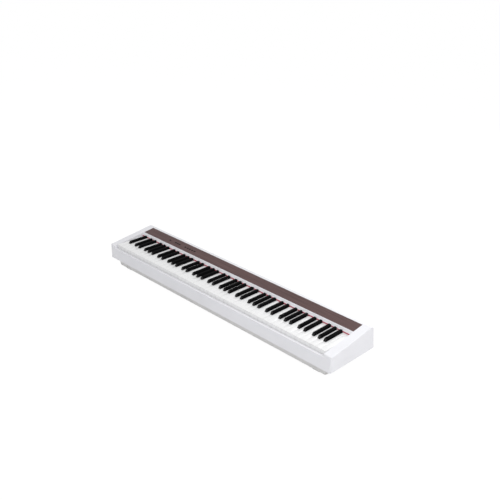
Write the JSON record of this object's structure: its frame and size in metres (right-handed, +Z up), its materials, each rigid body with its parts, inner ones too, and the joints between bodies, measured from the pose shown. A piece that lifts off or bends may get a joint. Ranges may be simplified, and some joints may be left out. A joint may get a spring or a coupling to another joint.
{
  "type": "digital piano",
  "caption": "Slab digital piano: one-piece white case with thick cheeks, brown top panel with small push buttons, sprung keys on a steel bed, and a tapered grey-beige base.",
  "frame": {"origin": "middle of the footprint, on the surface that the rubber feet stand on", "axes": "+X along the keyboard to the treble end, +Y from the player to the rear, +Z up"},
  "size_m": [1.296, 0.251, 0.1368],
  "materials": {
    "case_white": "satin moulded plastic",
    "base_grey": "matt moulded plastic, grey-beige",
    "panel_brown": "dull brown-grey wood-look inlay",
    "key_white": "semi-gloss",
    "key_black": "satin black",
    "felt_red": "felt",
    "bed_steel": "zinc-plated pressed steel",
    "rod_steel": "ground steel rod",
    "spring_steel": "spring steel",
    "pin_plastic": "acetal",
    "felt_grey": "felt",
    "board_green": "circuit board",
    "rubber_black": "soft rubber",
    "jack_black": "moulded socket",
    "port_steel": "plated shell",
    "speaker_black": "black driver",
    "button_dark": "dark satin"
  },
  "bodies": {
    "case": {"upper_case": "case_white", "lower_case": "base_grey", "top_panel": "panel_brown", "name_felt": "felt_red", "key_frame": "bed_steel", "pivot_rod": "rod_steel", "key_retainer": "bed_steel", "key_springs": "spring_steel", "guide_pins": "pin_plastic", "stop_felt": "felt_grey", "contact_board": "board_green", "contact_rubber": "rubber_black", "main_board": "board_green", "control_board": "board_green", "jack_board": "board_green", "jack_plate": "jack_black", "speaker_left": "speaker_black", "speaker_right": "speaker_black", "rubber_feet": "rubber_black", "dc_inlet": "jack_black", "usb_port": "port_steel", "phones_jack": "jack_black", "pedal_jack": "jack_black"},
    "naturals_octave_0": {"naturals_octave_0": "key_white"},
    "sharps_octave_0": {"sharps_octave_0": "key_black"},
    "naturals_octave_1": {"naturals_octave_1": "key_white"},
    "sharps_octave_1": {"sharps_octave_1": "key_black"},
    "naturals_octave_2": {"naturals_octave_2": "key_white"},
    "sharps_octave_2": {"sharps_octave_2": "key_black"},
    "naturals_octave_3": {"naturals_octave_3": "key_white"},
    "sharps_octave_3": {"sharps_octave_3": "key_black"},
    "key_c_4": {"key_c_4": "key_white"},
    "key_c_sharp_4": {"key_c_sharp_4": "key_black"},
    "key_d_4": {"key_d_4": "key_white"},
    "key_d_sharp_4": {"key_d_sharp_4": "key_black"},
    "key_e_4": {"key_e_4": "key_white"},
    "key_f_4": {"key_f_4": "key_white"},
    "key_f_sharp_4": {"key_f_sharp_4": "key_black"},
    "key_g_4": {"key_g_4": "key_white"},
    "key_g_sharp_4": {"key_g_sharp_4": "key_black"},
    "key_a_4": {"key_a_4": "key_white"},
    "key_a_sharp_4": {"key_a_sharp_4": "key_black"},
    "key_b_4": {"key_b_4": "key_white"},
    "naturals_octave_5": {"naturals_octave_5": "key_white"},
    "sharps_octave_5": {"sharps_octave_5": "key_black"},
    "naturals_octave_6": {"naturals_octave_6": "key_white"},
    "sharps_octave_6": {"sharps_octave_6": "key_black"},
    "naturals_octave_7": {"naturals_octave_7": "key_white"},
    "sharps_octave_7": {"sharps_octave_7": "key_black"},
    "power_button": {"power_button": "button_dark"},
    "level_button_1": {"level_button_1": "button_dark"},
    "level_button_2": {"level_button_2": "button_dark"},
    "level_button_3": {"level_button_3": "button_dark"},
    "voice_button_1": {"voice_button_1": "button_dark"},
    "voice_button_2": {"voice_button_2": "button_dark"},
    "voice_button_3": {"voice_button_3": "button_dark"},
    "voice_button_4": {"voice_button_4": "button_dark"},
    "voice_button_5": {"voice_button_5": "button_dark"}
  },
  "joints": [
    {"name": "naturals_octave_0_hinge", "type": "hinge", "parent": "case", "child": "naturals_octave_0", "pos_m": [-0.5875, 0.0805, 0.0947], "axis": [1, 0, 0], "range_deg": [0, 2.87], "stiffness_Nm_per_rad": 0.8, "springref_deg": -21.49},
    {"name": "sharps_octave_0_hinge", "type": "hinge", "parent": "case", "child": "sharps_octave_0", "pos_m": [-0.58414, 0.0805, 0.0947], "axis": [1, 0, 0], "range_deg": [0, 2.87], "stiffness_Nm_per_rad": 0.4, "springref_deg": -17.19},
    {"name": "naturals_octave_1_hinge", "type": "hinge", "parent": "case", "child": "naturals_octave_1", "pos_m": [-0.48175, 0.0805, 0.0947], "axis": [1, 0, 0], "range_deg": [0, 2.87], "stiffness_Nm_per_rad": 2.8, "springref_deg": -21.49},
    {"name": "sharps_octave_1_hinge", "type": "hinge", "parent": "case", "child": "sharps_octave_1", "pos_m": [-0.4794, 0.0805, 0.0947], "axis": [1, 0, 0], "range_deg": [0, 2.87], "stiffness_Nm_per_rad": 2, "springref_deg": -17.19},
    {"name": "naturals_octave_2_hinge", "type": "hinge", "parent": "case", "child": "naturals_octave_2", "pos_m": [-0.31725, 0.0805, 0.0947], "axis": [1, 0, 0], "range_deg": [0, 2.87], "stiffness_Nm_per_rad": 2.8, "springref_deg": -21.49},
    {"name": "sharps_octave_2_hinge", "type": "hinge", "parent": "case", "child": "sharps_octave_2", "pos_m": [-0.3149, 0.0805, 0.0947], "axis": [1, 0, 0], "range_deg": [0, 2.87], "stiffness_Nm_per_rad": 2, "springref_deg": -17.19},
    {"name": "naturals_octave_3_hinge", "type": "hinge", "parent": "case", "child": "naturals_octave_3", "pos_m": [-0.15275, 0.0805, 0.0947], "axis": [1, 0, 0], "range_deg": [0, 2.87], "stiffness_Nm_per_rad": 2.8, "springref_deg": -21.49},
    {"name": "sharps_octave_3_hinge", "type": "hinge", "parent": "case", "child": "sharps_octave_3", "pos_m": [-0.1504, 0.0805, 0.0947], "axis": [1, 0, 0], "range_deg": [0, 2.87], "stiffness_Nm_per_rad": 2, "springref_deg": -17.19},
    {"name": "key_c_4_hinge", "type": "hinge", "parent": "case", "child": "key_c_4", "pos_m": [-0.05875, 0.0805, 0.0947], "axis": [1, 0, 0], "range_deg": [0, 2.87], "stiffness_Nm_per_rad": 0.4, "springref_deg": -21.49},
    {"name": "key_c_sharp_4_hinge", "type": "hinge", "parent": "case", "child": "key_c_sharp_4", "pos_m": [-0.04935, 0.0805, 0.0947], "axis": [1, 0, 0], "range_deg": [0, 2.87], "stiffness_Nm_per_rad": 0.4, "springref_deg": -17.19},
    {"name": "key_d_4_hinge", "type": "hinge", "parent": "case", "child": "key_d_4", "pos_m": [-0.03525, 0.0805, 0.0947], "axis": [1, 0, 0], "range_deg": [0, 2.87], "stiffness_Nm_per_rad": 0.4, "springref_deg": -21.49},
    {"name": "key_d_sharp_4_hinge", "type": "hinge", "parent": "case", "child": "key_d_sharp_4", "pos_m": [-0.02115, 0.0805, 0.0947], "axis": [1, 0, 0], "range_deg": [0, 2.87], "stiffness_Nm_per_rad": 0.4, "springref_deg": -17.19},
    {"name": "key_e_4_hinge", "type": "hinge", "parent": "case", "child": "key_e_4", "pos_m": [-0.01175, 0.0805, 0.0947], "axis": [1, 0, 0], "range_deg": [0, 2.87], "stiffness_Nm_per_rad": 0.4, "springref_deg": -21.49},
    {"name": "key_f_4_hinge", "type": "hinge", "parent": "case", "child": "key_f_4", "pos_m": [0.01175, 0.0805, 0.0947], "axis": [1, 0, 0], "range_deg": [0, 2.87], "stiffness_Nm_per_rad": 0.4, "springref_deg": -21.49},
    {"name": "key_f_sharp_4_hinge", "type": "hinge", "parent": "case", "child": "key_f_sharp_4", "pos_m": [0.02014, 0.0805, 0.0947], "axis": [1, 0, 0], "range_deg": [0, 2.87], "stiffness_Nm_per_rad": 0.4, "springref_deg": -17.19},
    {"name": "key_g_4_hinge", "type": "hinge", "parent": "case", "child": "key_g_4", "pos_m": [0.03525, 0.0805, 0.0947], "axis": [1, 0, 0], "range_deg": [0, 2.87], "stiffness_Nm_per_rad": 0.4, "springref_deg": -21.49},
    {"name": "key_g_sharp_4_hinge", "type": "hinge", "parent": "case", "child": "key_g_sharp_4", "pos_m": [0.047, 0.0805, 0.0947], "axis": [1, 0, 0], "range_deg": [0, 2.87], "stiffness_Nm_per_rad": 0.4, "springref_deg": -17.19},
    {"name": "key_a_4_hinge", "type": "hinge", "parent": "case", "child": "key_a_4", "pos_m": [0.05875, 0.0805, 0.0947], "axis": [1, 0, 0], "range_deg": [0, 2.87], "stiffness_Nm_per_rad": 0.4, "springref_deg": -21.49},
    {"name": "key_a_sharp_4_hinge", "type": "hinge", "parent": "case", "child": "key_a_sharp_4", "pos_m": [0.07386, 0.0805, 0.0947], "axis": [1, 0, 0], "range_deg": [0, 2.87], "stiffness_Nm_per_rad": 0.4, "springref_deg": -17.19},
    {"name": "key_b_4_hinge", "type": "hinge", "parent": "case", "child": "key_b_4", "pos_m": [0.08225, 0.0805, 0.0947], "axis": [1, 0, 0], "range_deg": [0, 2.87], "stiffness_Nm_per_rad": 0.4, "springref_deg": -21.49},
    {"name": "naturals_octave_5_hinge", "type": "hinge", "parent": "case", "child": "naturals_octave_5", "pos_m": [0.17625, 0.0805, 0.0947], "axis": [1, 0, 0], "range_deg": [0, 2.87], "stiffness_Nm_per_rad": 2.8, "springref_deg": -21.49},
    {"name": "sharps_octave_5_hinge", "type": "hinge", "parent": "case", "child": "sharps_octave_5", "pos_m": [0.1786, 0.0805, 0.0947], "axis": [1, 0, 0], "range_deg": [0, 2.87], "stiffness_Nm_per_rad": 2, "springref_deg": -17.19},
    {"name": "naturals_octave_6_hinge", "type": "hinge", "parent": "case", "child": "naturals_octave_6", "pos_m": [0.34075, 0.0805, 0.0947], "axis": [1, 0, 0], "range_deg": [0, 2.87], "stiffness_Nm_per_rad": 2.8, "springref_deg": -21.49},
    {"name": "sharps_octave_6_hinge", "type": "hinge", "parent": "case", "child": "sharps_octave_6", "pos_m": [0.3431, 0.0805, 0.0947], "axis": [1, 0, 0], "range_deg": [0, 2.87], "stiffness_Nm_per_rad": 2, "springref_deg": -17.19},
    {"name": "naturals_octave_7_hinge", "type": "hinge", "parent": "case", "child": "naturals_octave_7", "pos_m": [0.517, 0.0805, 0.0947], "axis": [1, 0, 0], "range_deg": [0, 2.87], "stiffness_Nm_per_rad": 3.2, "springref_deg": -21.49},
    {"name": "sharps_octave_7_hinge", "type": "hinge", "parent": "case", "child": "sharps_octave_7", "pos_m": [0.5076, 0.0805, 0.0947], "axis": [1, 0, 0], "range_deg": [0, 2.87], "stiffness_Nm_per_rad": 2, "springref_deg": -17.19},
    {"name": "power_button_travel", "type": "slide", "parent": "case", "child": "power_button", "axis": [0, 0.1323, -0.9912], "range_m": [0, 0.001], "stiffness_N_per_m": 1000, "springref_m": -0.0008},
    {"name": "level_button_1_travel", "type": "slide", "parent": "case", "child": "level_button_1", "axis": [0, 0.1323, -0.9912], "range_m": [0, 0.001], "stiffness_N_per_m": 1000, "springref_m": -0.0008},
    {"name": "level_button_2_travel", "type": "slide", "parent": "case", "child": "level_button_2", "axis": [0, 0.1323, -0.9912], "range_m": [0, 0.001], "stiffness_N_per_m": 1000, "springref_m": -0.0008},
    {"name": "level_button_3_travel", "type": "slide", "parent": "case", "child": "level_button_3", "axis": [0, 0.1323, -0.9912], "range_m": [0, 0.001], "stiffness_N_per_m": 1000, "springref_m": -0.0008},
    {"name": "voice_button_1_travel", "type": "slide", "parent": "case", "child": "voice_button_1", "axis": [0, 0.1323, -0.9912], "range_m": [0, 0.001], "stiffness_N_per_m": 1000, "springref_m": -0.0008},
    {"name": "voice_button_2_travel", "type": "slide", "parent": "case", "child": "voice_button_2", "axis": [0, 0.1323, -0.9912], "range_m": [0, 0.001], "stiffness_N_per_m": 1000, "springref_m": -0.0008},
    {"name": "voice_button_3_travel", "type": "slide", "parent": "case", "child": "voice_button_3", "axis": [0, 0.1323, -0.9912], "range_m": [0, 0.001], "stiffness_N_per_m": 1000, "springref_m": -0.0008},
    {"name": "voice_button_4_travel", "type": "slide", "parent": "case", "child": "voice_button_4", "axis": [0, 0.1323, -0.9912], "range_m": [0, 0.001], "stiffness_N_per_m": 1000, "springref_m": -0.0008},
    {"name": "voice_button_5_travel", "type": "slide", "parent": "case", "child": "voice_button_5", "axis": [0, 0.1323, -0.9912], "range_m": [0, 0.001], "stiffness_N_per_m": 1000, "springref_m": -0.0008}
  ]
}
